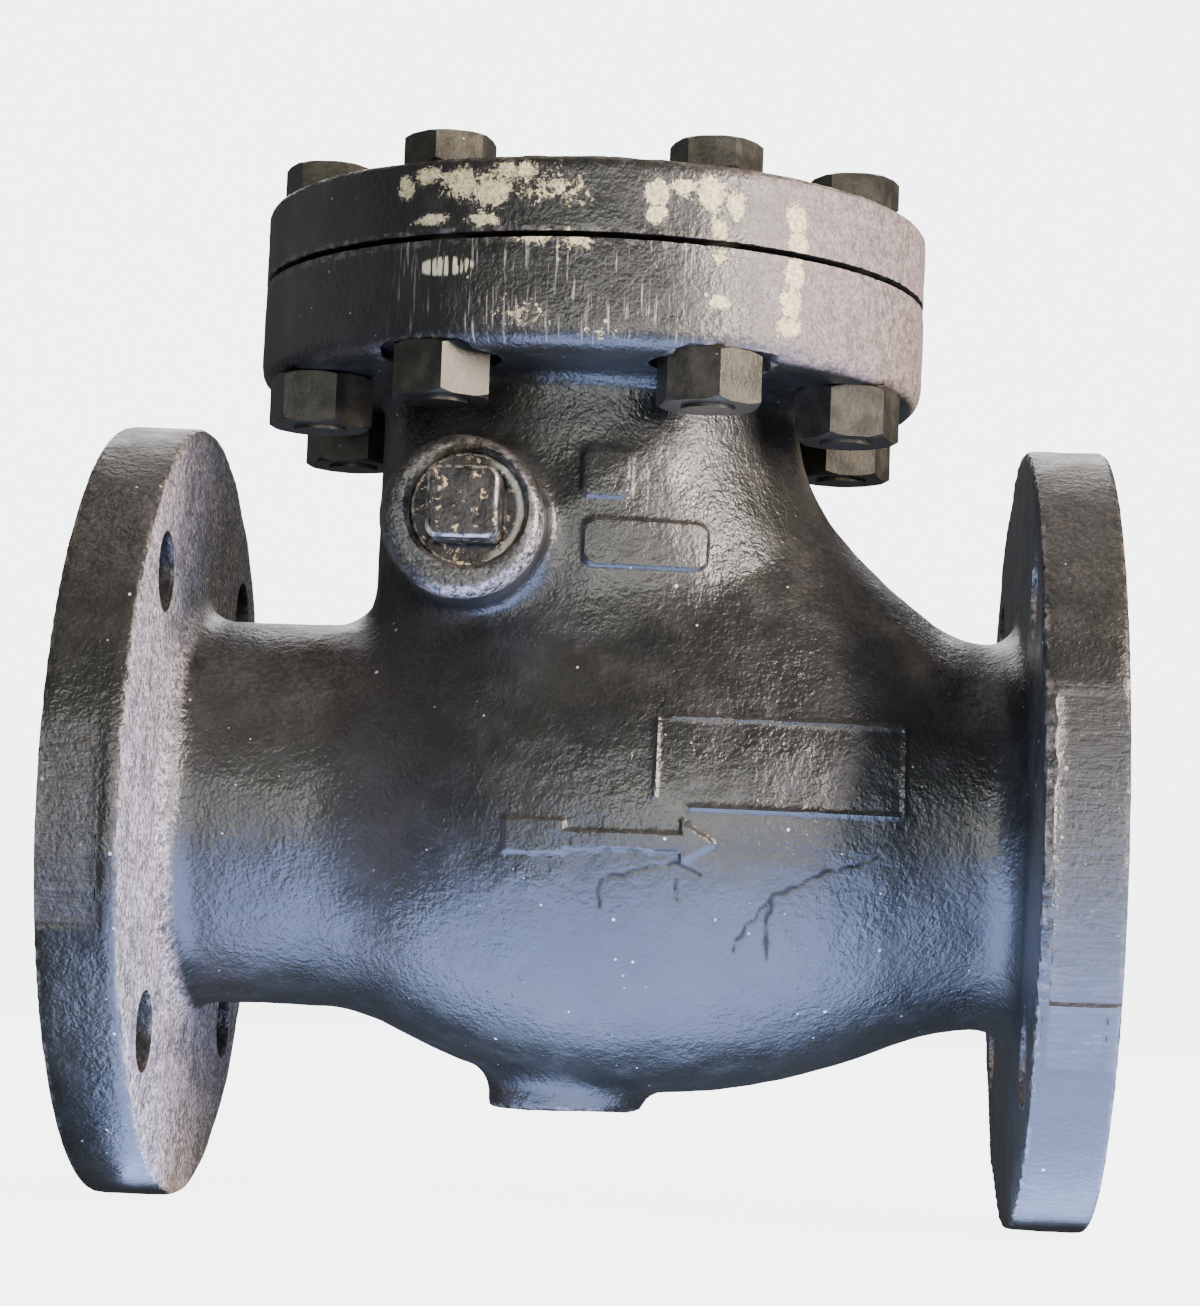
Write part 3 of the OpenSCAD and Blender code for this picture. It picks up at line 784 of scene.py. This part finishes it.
def lay_wear_and_seam_shade(paint):
    """Worn edges, painted shade in the casting seams, and specks of dust and paint."""
    worn = paint.product(paint.spread(paint.value("edge"), 0.45, 1.1), paint.blotches(3, 0.45, 0.65, 4, 0.7))
    paint.lay(paint.product(worn, 0.7), (0.19, 0.165, 0.145))
    # near-black painted shade in the recessed casting seams
    seam = paint.product(paint.value("seam"), paint.blotches(5, 0.34, 0.46))
    paint.lay(paint.spread(seam, 0.25, 0.8), (0.003, 0.003, 0.003))
    paint.rough = paint.blend(seam, paint.rough, 0.9)
    fine_specks = paint.product(paint.dots(2.6, 0.13, 0.16), 0.8)
    specks = paint.math("ADD", paint.dots(5.5, 0.11, 0.40), fine_specks, clamp=True)
    paint.lay(specks, (0.62, 0.60, 0.56))


def lay_cover_rims(paint, mid):
    """Brown dust, made brighter as painted light on the side that faces the warm side lamp, scratches and old
    cream paint on the rims of the cover joint. Returns the cream's place.
    """
    z = paint.parts()[2]
    nz = paint.facing()[2]
    around = round_cover(paint)
    on_rim = paint.product(paint.spread(z, 103.5 * MM, 107.5 * MM),
                           paint.spread(paint.math("ABSOLUTE", nz), 0.9, 0.7))

    # brown dust on the right of the rims, brightened as painted light from the warm side lamp
    dust_and_painted_light = paint.product(on_rim, paint.spread(around, 22 * MM, 72 * MM),
                          paint.spread(around, 215 * MM, 135 * MM),
                          paint.spread(paint.noise(3.0, 6, 0.8), 0.36, 0.60, 0.45, 1.0))
    brown = paint.mix(paint.blotches(0.9, 0.42, 0.60, 5, 0.8), (0.26, 0.195, 0.165), (0.54, 0.44, 0.40))
    paint.lay(paint.product(dust_and_painted_light, 0.85), brown)
    paint.rough = paint.blend(dust_and_painted_light, paint.rough, 0.7)

    streaks = streak_coordinates(paint, around, z)
    streak_zone = paint.product(on_rim, paint.between(around, -38 * MM, 26 * MM, 10 * MM),
                                paint.spread(z, 136 * MM, 128 * MM), paint.spread(mid, 0.36, 0.58))
    scratches = paint.product(paint.blotches(0.9, 0.56, 0.70, 2, 0.6, streaks), streak_zone)
    paint.lay(paint.product(scratches, 0.8), (0.46, 0.42, 0.35))
    dark_lines = paint.spread(paint.noise(1.4, 2, 0.6, streaks, warp=0.4), 0.40, 0.30)
    paint.lay(paint.product(dark_lines, streak_zone), (0.006, 0.006, 0.005))
    dashes = paint.product(patch_at(paint, around, z, -21, 123.5, 10, 3.2),
                           paint.blotches(1.1, 0.44, 0.56, 2, 0.6, streaks))
    paint.lay(paint.product(paint.spread(dashes, 0.10, 0.35), on_rim), (0.88, 0.82, 0.56))

    blots = 0.0
    for angle, height, half_width, half_height, solid in SPLATTER:
        here = patch_at(paint, around, z, angle, height, half_width, half_height)
        blots = paint.math("MAXIMUM", blots, paint.product(here, solid))
    scuffed = paint.product(on_rim, paint.spread(blots, 0.02, 0.5), paint.blotches(0.8, 0.5, 0.66, 4, 0.7))
    paint.lay(paint.product(scuffed, 0.5), (0.30, 0.28, 0.26))
    ragged = paint.blend(0.55, paint.noise(3.2, 4, 0.65, warp=0.8), paint.noise(1.0, 5, 0.8, warp=0.5))
    cream = paint.spread(paint.math("ADD", ragged, paint.product(blots, 0.30)), *CREAM_LIMIT)
    cream = paint.product(cream, on_rim, paint.spread(blots, 0.05, 0.2))
    tone = paint.mix(paint.blotches(1.1, 0.40, 0.62, 5, 0.8), (1.0, 0.90, 0.50), (0.46, 0.37, 0.20))
    paint.lay(cream, tone, 0.6)
    return cream


def lay_boss_scuffs(paint):
    """Scuffs on the lower edge of the pin boss, and faint ones on its face."""
    x, y, z = paint.parts()
    from_x = paint.less(x, BOSS_X * MM)
    from_z = paint.less(z, BOSS_Z * MM)
    radius = paint.distance(from_x, from_z)
    lower_right = paint.spread(paint.less(paint.product(from_x, 0.75), from_z), 6 * MM, 18 * MM)
    on_edge = paint.product(paint.between(radius, (BOSS_R - 1.8) * MM, (BOSS_R + 0.5) * MM, 1.2 * MM),
                            paint.spread(y, (8 - BOSS_Y) * MM, (5 - BOSS_Y) * MM))
    scuffs = paint.product(on_edge, lower_right, paint.blotches(1.3, 0.45, 0.58, 5, 0.8))
    paint.lay(paint.product(scuffs, 0.85), (0.55, 0.45, 0.42))
    on_face = paint.product(paint.spread(radius, (BOSS_R - 1) * MM, (BOSS_R - 2) * MM),
                            paint.spread(y, (2 - BOSS_Y) * MM, (0.8 - BOSS_Y) * MM))
    paint.lay(paint.product(on_face, paint.blotches(1.0, 0.45, 0.7, 5, 0.8), 0.6), (0.17, 0.165, 0.135))


def lay_ground_places(paint, mid, on_body):
    """The ground places on the end flanges' rims. Returns where they are, and their tool lines."""
    x, _, z = paint.parts()
    ny = paint.facing()[1]
    left = paint.product(paint.spread(x, (GROUND_LEFT_X + 0.5) * MM, (GROUND_LEFT_X - 0.5) * MM),
                         paint.between(z, (GROUND_LEFT_Z[0] + 1) * MM, (GROUND_LEFT_Z[1] - 0.5) * MM, 1 * MM))
    right = paint.product(paint.spread(x, (GROUND_RIGHT_X - 0.5) * MM, (GROUND_RIGHT_X + 0.5) * MM),
                          paint.between(z, GROUND_LOW_Z[0] * MM, (GROUND_RIGHT_Z[1] - 0.5) * MM, 1 * MM))
    ground = paint.product(paint.math("ADD", left, right, clamp=True), paint.spread(ny, -0.6, -0.75), on_body)
    tool_lines = paint.noise(0.9, 4, 0.7, paint.stretched(0.12, 0.3, 1.0), warp=0.5)
    scratches = paint.blotches(0.8, 0.62, 0.70, 4, 0.7, paint.stretched(0.16, 0.5, 1.0))
    worn_lines = paint.product(ground, scratches, paint.spread(mid, 0.50, 0.64))
    paint.lay(paint.product(ground, paint.spread(tool_lines, 0.35, 0.7, 0.25, 0.85)), (0.070, 0.066, 0.060))
    paint.lay(paint.product(worn_lines, 0.8), (0.42, 0.38, 0.30))
    paint.rough = paint.blend(paint.product(ground, 0.8), paint.rough, 0.36)
    return ground, tool_lines


def turning_rings(paint):
    """Fine turned grooves round the waterway's axis."""
    _, y, z = paint.parts()
    return paint.math("SINE", paint.product(paint.distance(y, z), 2 * math.pi / (RING_PITCH * MM)))


def lay_turned_ends(paint, on_body):
    """Stained and slightly rusty bare iron on the turned end faces. Returns where they are."""
    x = paint.parts()[0]
    nx = paint.facing()[0]
    at_end = paint.math("MAXIMUM", paint.spread(x, 0.5 * MM, 0.3 * MM),
                        paint.spread(x, (FACE_TO_FACE - 0.5) * MM, (FACE_TO_FACE - 0.3) * MM))
    turned = paint.product(at_end, paint.spread(paint.math("ABSOLUTE", nx), 0.93, 0.98), on_body)
    bare = paint.mix(paint.blotches(16, 0.35, 0.7, 5, 0.65), (0.15, 0.14, 0.13), (0.29, 0.27, 0.25))
    rust = paint.blotches(5, 0.56, 0.72, 5, 0.7)
    bare = paint.mix(paint.product(rust, 0.7), bare, (0.22, 0.11, 0.055))
    paint.lay(turned, bare, paint.blend(rust, 0.40, 0.75))
    return turned


def painted_iron(name, on_cover):
    """Black painted grey iron with handling marks, dust, painted light on some dusty faces, painted shade in
    the casting seams, and old paint splashes.
    """
    paint = Paint(name, IOR=1.75)
    on_body = 0.0 if on_cover else 1.0
    mid = paint.noise(9, 4, 0.6)
    paint.base(paint.blotches(38, 0.35, 0.7), (0.011, 0.0112, 0.009), (0.022, 0.0215, 0.016),
               paint.blend(paint.spread(mid, 0.3, 0.7), 0.30, 0.44))
    paint.lay(paint.product(paint.spread(mid, 0.5, 0.75), 0.6), (0.034, 0.031, 0.027))
    # dust, with painted light on the inlet flange's back and the cover rims' lamp side
    dust = lay_dust_and_painted_light(paint, mid)
    lay_wear_and_seam_shade(paint)
    cream = lay_cover_rims(paint, mid)
    lay_boss_scuffs(paint)
    ground, tool_lines = lay_ground_places(paint, mid, on_body)
    turned = lay_turned_ends(paint, on_body)

    # orange-peel paint over sand grain, then each layer's own relief
    smoother = paint.spread(paint.noise(24, 2), 0.35, 0.65, 0.55, 1.0)
    peel = paint.blend(0.35, paint.noise(1.8, 2, 0.5, warp=0.3), paint.noise(0.8, 2, 0.5))
    peel = paint.product(peel, smoother, paint.less(1.0, turned))
    normal = paint.bump(peel, 0.50 if on_cover else 0.60)
    normal = paint.bump(paint.product(turning_rings(paint), turned), 0.04, 0.8, normal)
    normal = paint.bump(paint.product(dust, paint.noise(0.8, 4, 0.7)), 0.5, 1.0, normal)
    normal = paint.bump(cream, 0.25, 0.7, normal)
    normal = paint.bump(paint.product(ground, tool_lines), 0.30, 0.7, normal)
    return paint.finish(normal, paint.product(turned, 0.7))


def machined_iron():
    """Turned grey iron, stained, with a little rust."""
    paint = Paint("machined_iron", Metallic=0.75)
    stain = paint.noise(16, 5, 0.65)
    paint.base(paint.spread(stain, 0.35, 0.7), (0.20, 0.19, 0.175), (0.36, 0.335, 0.31),
               paint.spread(stain, 0.3, 0.7, 0.32, 0.5))
    rust = paint.blotches(5, 0.58, 0.75, 5, 0.7)
    paint.lay(paint.product(rust, 0.6), (0.24, 0.115, 0.055))
    paint.rough = paint.blend(rust, paint.rough, 0.75)
    normal = paint.bump(turning_rings(paint), 0.05, 0.6)
    return paint.finish(paint.bump(paint.noise(1.2, 3), 0.05, 0.5, normal))


def wet_iron():
    """The unpainted cast inside: dark scale with a little rust."""
    paint = Paint("wet_iron")
    rust = paint.blotches(3.5, 0.52, 0.72, 5, 0.7)
    paint.base(paint.blotches(14, 0.35, 0.7, 4), (0.045, 0.040, 0.036), (0.10, 0.075, 0.055),
               paint.blend(rust, 0.6, 0.85))
    paint.lay(paint.product(rust, 0.7), (0.17, 0.085, 0.045))
    return paint.finish(paint.bump(paint.noise(1.6, 4, 0.6), 0.35, 0.7))


def oxide_steel():
    """Black-oxide bolts and nuts: satin olive grey, bright where they were rubbed."""
    paint = Paint("oxide_steel", Metallic=0.6)
    stain = paint.noise(6, 4, 0.6)
    paint.base(paint.spread(stain, 0.35, 0.7), (0.050, 0.047, 0.036), (0.100, 0.092, 0.070),
               paint.blend(paint.spread(stain, 0.3, 0.7), 0.34, 0.5))
    paint.lay(paint.product(paint.blotches(1.1, 0.60, 0.72, 5, 0.75), 0.35), (0.26, 0.23, 0.20))
    paint.lay(paint.dots(3.0, 0.13, 0.22), (0.60, 0.52, 0.40))
    return paint.finish(paint.bump(paint.noise(1.1, 4, 0.65), 0.16, 0.8))


def plug_iron():
    """Malleable iron plug, dark and glossy, with scraped corners, flecks of old paint and a painted highlight
    on the right of its rim.
    """
    paint = Paint("plug_iron", Metallic=0.55)
    stain = paint.noise(5, 4, 0.6)
    paint.base(paint.spread(stain, 0.35, 0.7), (0.030, 0.029, 0.027), (0.075, 0.070, 0.062),
               paint.blend(paint.spread(stain, 0.3, 0.7), 0.24, 0.45))
    scraped = paint.spread(paint.value("edge"), 0.5, 1.0)
    scraped = paint.product(scraped, paint.blotches(2.2, 0.40, 0.55, 4, 0.7))
    paint.lay(paint.product(scraped, 0.8), (0.50, 0.47, 0.43))
    paint.lay(paint.spread(paint.noise(2.6, 5, 0.7, warp=0.5), 0.58, 0.63), (0.78, 0.55, 0.32))
    # painted highlight: a pale band on the right of the plug's rim
    x, _, z = paint.parts()
    from_x = paint.less(x, PIN_X * MM)
    from_z = paint.less(z, PIN_Z * MM)
    plug_rim_highlight = paint.product(paint.spread(paint.distance(from_x, from_z), 11.0 * MM, 12.2 * MM),
                               paint.spread(from_x, 3 * MM, 9 * MM), paint.blotches(3, 0.30, 0.45, 4, 0.7))
    paint.lay(paint.product(plug_rim_highlight, 0.85), (0.66, 0.62, 0.53))
    return paint.finish(paint.bump(paint.noise(1.5, 4, 0.65), 0.5, 0.9))


def bronze():
    """Trim bronze with dull brown places."""
    paint = Paint("bronze", Metallic=1.0)
    dull = paint.blotches(3, 0.52, 0.72, 5, 0.7)
    paint.base(paint.blotches(9, 0.35, 0.7, 4, 0.6), (0.50, 0.33, 0.14), (0.36, 0.23, 0.11),
               paint.blend(dull, 0.28, 0.5))
    paint.lay(paint.product(dull, 0.7), (0.16, 0.11, 0.06))
    return paint.finish(paint.bump(paint.noise(0.8, 3, 0.5, paint.stretched(0.2, 1, 1)), 0.03, 0.5))


def bright_steel():
    """Drawn steel, with fine lines along the pin."""
    paint = Paint("bright_steel", Metallic=1.0)
    paint.base(paint.noise(5, 3), (0.50, 0.49, 0.47), (0.36, 0.35, 0.34),
               paint.spread(paint.noise(3, 4), 0.3, 0.7, 0.22, 0.38))
    return paint.finish(paint.bump(paint.noise(0.6, 2, 0.5, paint.stretched(1, 0.1, 1)), 0.02, 0.5))


def arm_iron():
    """Cast arm and disc: dark grey-brown iron with rust."""
    paint = Paint("arm_iron", Metallic=0.35)
    rust = paint.blotches(3, 0.55, 0.72, 5, 0.7)
    paint.base(paint.blotches(12, 0.35, 0.7, 4, 0.6), (0.055, 0.050, 0.045), (0.11, 0.09, 0.07),
               paint.blend(rust, 0.45, 0.8))
    paint.lay(paint.product(rust, 0.6), (0.18, 0.085, 0.04))
    return paint.finish(paint.bump(paint.noise(1.5, 3, 0.6), 0.25, 0.7))


def gasket_sheet():
    """Dark pressed fibre."""
    paint = Paint("gasket_sheet")
    paint.base(paint.noise(1.2, 4, 0.7), (0.020, 0.019, 0.018), (0.055, 0.050, 0.045),
               paint.spread(paint.noise(2, 3), 0.3, 0.7, 0.75, 0.92))
    return paint.finish(paint.bump(paint.noise(0.7, 3, 0.6), 0.08, 0.8))


def dress(piece, *materials):
    if piece.data.materials:
        piece.data.materials.clear()
    for material in materials:
        piece.data.materials.append(material)


# ------------------------ fasteners and plugs
def make_fasteners(material):
    """The CAD's bolts and nuts with their edges broken."""
    for i in range(1, 9):
        for kind in ("bolt", "nut"):
            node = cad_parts[f"cover_{kind}_{i}"]
            dress(node, material)
            bevel = node.modifiers.new("edges", "BEVEL")
            bevel.width = 0.25 * MM
            bevel.segments = 2
            bevel.limit_method = "ANGLE"
            bevel.angle_limit = math.radians(25)


def plug_field(side):
    """One plug: the round part in the boss and the square head outside."""
    end_y = max(abs(plug_low[1]), abs(plug_high[1]))
    middle_y, half_y = (PLUG_POCKET_Y + PLUG_FACE_Y) / 2, (PLUG_FACE_Y - PLUG_POCKET_Y) / 2
    half = PLUG_SQUARE / 2

    def field(x, y, z):
        out = y * side
        r = length(x - PIN_X, z - PIN_Z)
        thread = disc(r, out - middle_y, PLUG_R, half_y, 0.6)
        head = common(np.abs(x - PIN_X) - half, np.abs(z - PIN_Z) - half, 1.2)
        head = common(head, r - half * 1.28, 0.6)
        head = common(head, out - end_y, 1.0)
        head = np.maximum(head, PLUG_FACE_Y - 3 - out)
        return join(thread, head, 1.2)

    return field


def make_plugs(material):
    step = 0.6
    for end, side in (("front", -1), ("rear", 1)):
        node = f"side_plug_{end}"
        low, high = box_mm(node)
        field = plug_field(side)
        vertices, faces = mesh_field(field, low, high, step)
        piece = make_object(f"pin_plug_{end}", vertices, faces, "valve_body", 45)
        p = points_of(piece.data)
        edge = curvature(field, p, 1.0)
        lift = 0.10 * lumps(p, 4, 5) + 0.05 * lumps(p, 1.6, 6)
        set_points(piece.data, p + unit(gradient(field, p)) * lift[:, None])
        add_value(piece.data, "edge", edge)
        dress(piece, material)
        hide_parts(node)


# ------------------------ camera, floor and lights
CAMERA_PLACE = (0.16515, -0.8012, -0.031)
CAMERA_TURN = (-3.31, 5.25, 2.11)
CAMERA_LENS = 88.84


def make_camera():
    """Camera at the photograph's view: low, in front, tilted up a little."""
    yaw, pitch, roll = (math.radians(angle) for angle in CAMERA_TURN)
    ahead = Vector((math.sin(yaw) * math.cos(pitch), math.cos(yaw) * math.cos(pitch), math.sin(pitch)))
    right = Vector((math.cos(yaw), -math.sin(yaw), 0))
    up = right.cross(ahead)
    turned_right = right * math.cos(roll) + up * math.sin(roll)
    turned_up = up * math.cos(roll) - right * math.sin(roll)
    data = bpy.data.cameras.new("camera")
    data.lens = CAMERA_LENS
    data.clip_end = 20
    camera = bpy.data.objects.new("camera", data)
    bpy.context.scene.collection.objects.link(camera)
    place = Matrix((turned_right, turned_up, -ahead)).transposed().to_4x4()
    place.translation = Vector(CAMERA_PLACE)
    camera.matrix_world = place
    bpy.context.scene.camera = camera


def make_light(name, place, target, size, power, colour):
    data = bpy.data.lights.new(name, "AREA")
    data.shape = "RECTANGLE"
    data.size, data.size_y = size
    data.energy = power
    data.color = colour
    light = bpy.data.objects.new(name, data)
    light.location = place
    light.rotation_euler = (Vector(target) - Vector(place)).to_track_quat("-Z", "Y").to_euler()
    light.visible_camera = False
    bpy.context.scene.collection.objects.link(light)


FLOOR_SIDES = 72
FLAT_R, WALL_R, WALL_TOP = 1.8, 2.6, 4.0


def make_stage():
    """A pale round floor that curves up into a wall. Reflections don't see it, so dark edges stay dark."""
    floor_z = FLOOR_Z * MM - 0.0005
    curve = WALL_R - FLAT_R
    profile = [(FLAT_R * k / 3, 0.0) for k in range(4)]
    for k in range(1, 13):
        a = math.pi / 2 * k / 12
        profile.append((FLAT_R + curve * math.sin(a), curve - curve * math.cos(a)))
    profile += [(WALL_R, WALL_TOP * 0.6), (WALL_R, WALL_TOP)]
    work = bmesh.new()
    turns = [2 * math.pi * k / FLOOR_SIDES for k in range(FLOOR_SIDES)]
    rings = [[work.verts.new((COVER_X * MM, 0, floor_z))] * FLOOR_SIDES]
    for radius, up in profile[1:]:
        ring = [(COVER_X * MM + radius * math.cos(t), radius * math.sin(t), floor_z + up) for t in turns]
        rings.append([work.verts.new(point) for point in ring])
    for inner, outer in zip(rings, rings[1:]):
        for k in range(FLOOR_SIDES):
            after = (k + 1) % FLOOR_SIDES
            corners = dict.fromkeys((inner[k], outer[k], outer[after], inner[after]))
            work.faces.new(list(corners)).smooth = True
    mesh = bpy.data.meshes.new("studio_floor")
    work.to_mesh(mesh)
    work.free()
    floor = bpy.data.objects.new("studio_floor", mesh)
    bpy.context.scene.collection.objects.link(floor)
    floor.visible_glossy = False
    floor.visible_diffuse = False
    paint = Paint("studio_floor", Emission_Color=(0.95, 0.97, 1.0, 1.0), Emission_Strength=5.0)
    paint.base(paint.noise(300, 2), (0.86, 0.87, 0.90), (0.90, 0.91, 0.93), 0.9)
    dress(floor, paint.finish())


def make_world():
    world = bpy.data.worlds.new("studio")
    world.use_nodes = True
    background = world.node_tree.nodes["Background"]
    background.inputs["Color"].default_value = (0.75, 0.80, 0.90, 1)
    background.inputs["Strength"].default_value = 0.15
    bpy.context.scene.world = world


make_camera()
make_stage()
make_world()
middle = (0.12, 0.0, 0.03)
make_light("warm_side", (1.35, -0.75, 0.35), middle, (0.5, 0.7), 52, (1.0, 0.86, 0.78))
make_light("front", (0.30, -1.45, 0.03), middle, (1.3, 0.45), 11, (1.0, 0.99, 0.90))
panel_x, panel_y = 0.30, -0.14
make_light("low_panel", (panel_x, panel_y, FLOOR_Z * MM + 0.0006), (panel_x, panel_y, 1.0), (0.58, 0.23), 3.1,
           (0.42, 0.55, 1.0))
make_light("behind", (0.0, 1.3, 0.9), middle, (1.2, 0.6), 12, (1.0, 0.97, 0.94))
make_light("left_fill", (-1.6, 0.3, 0.5), middle, (2.0, 1.6), 2.2, (1.0, 0.97, 0.94))
make_light("over_floor", (0.12, 0.3, 2.4), (0.12, 0.3, 0.0), (1.5, 1.5), 5, (1.0, 1.0, 1.0))

body_paint = painted_iron("painted_iron", False)
cover_paint = painted_iron("painted_cover", True)
trim, cast_arm = bronze(), arm_iron()

dress(make_casting(), body_paint, machined_iron(), wet_iron())
dress(make_cover(), cover_paint)
make_fasteners(oxide_steel())
make_plugs(plug_iron())
dress(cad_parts["cover_gasket"], gasket_sheet())
for node in ("seat_ring", "disc_face_ring", "disc_stud", "disc_washer", "disc_nut", "disc_lock_pin"):
    dress(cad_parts[node], trim)
dress(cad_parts["hinge_pin"], bright_steel())
for node in ("hinge_arm", "disc"):
    dress(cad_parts[node], cast_arm)
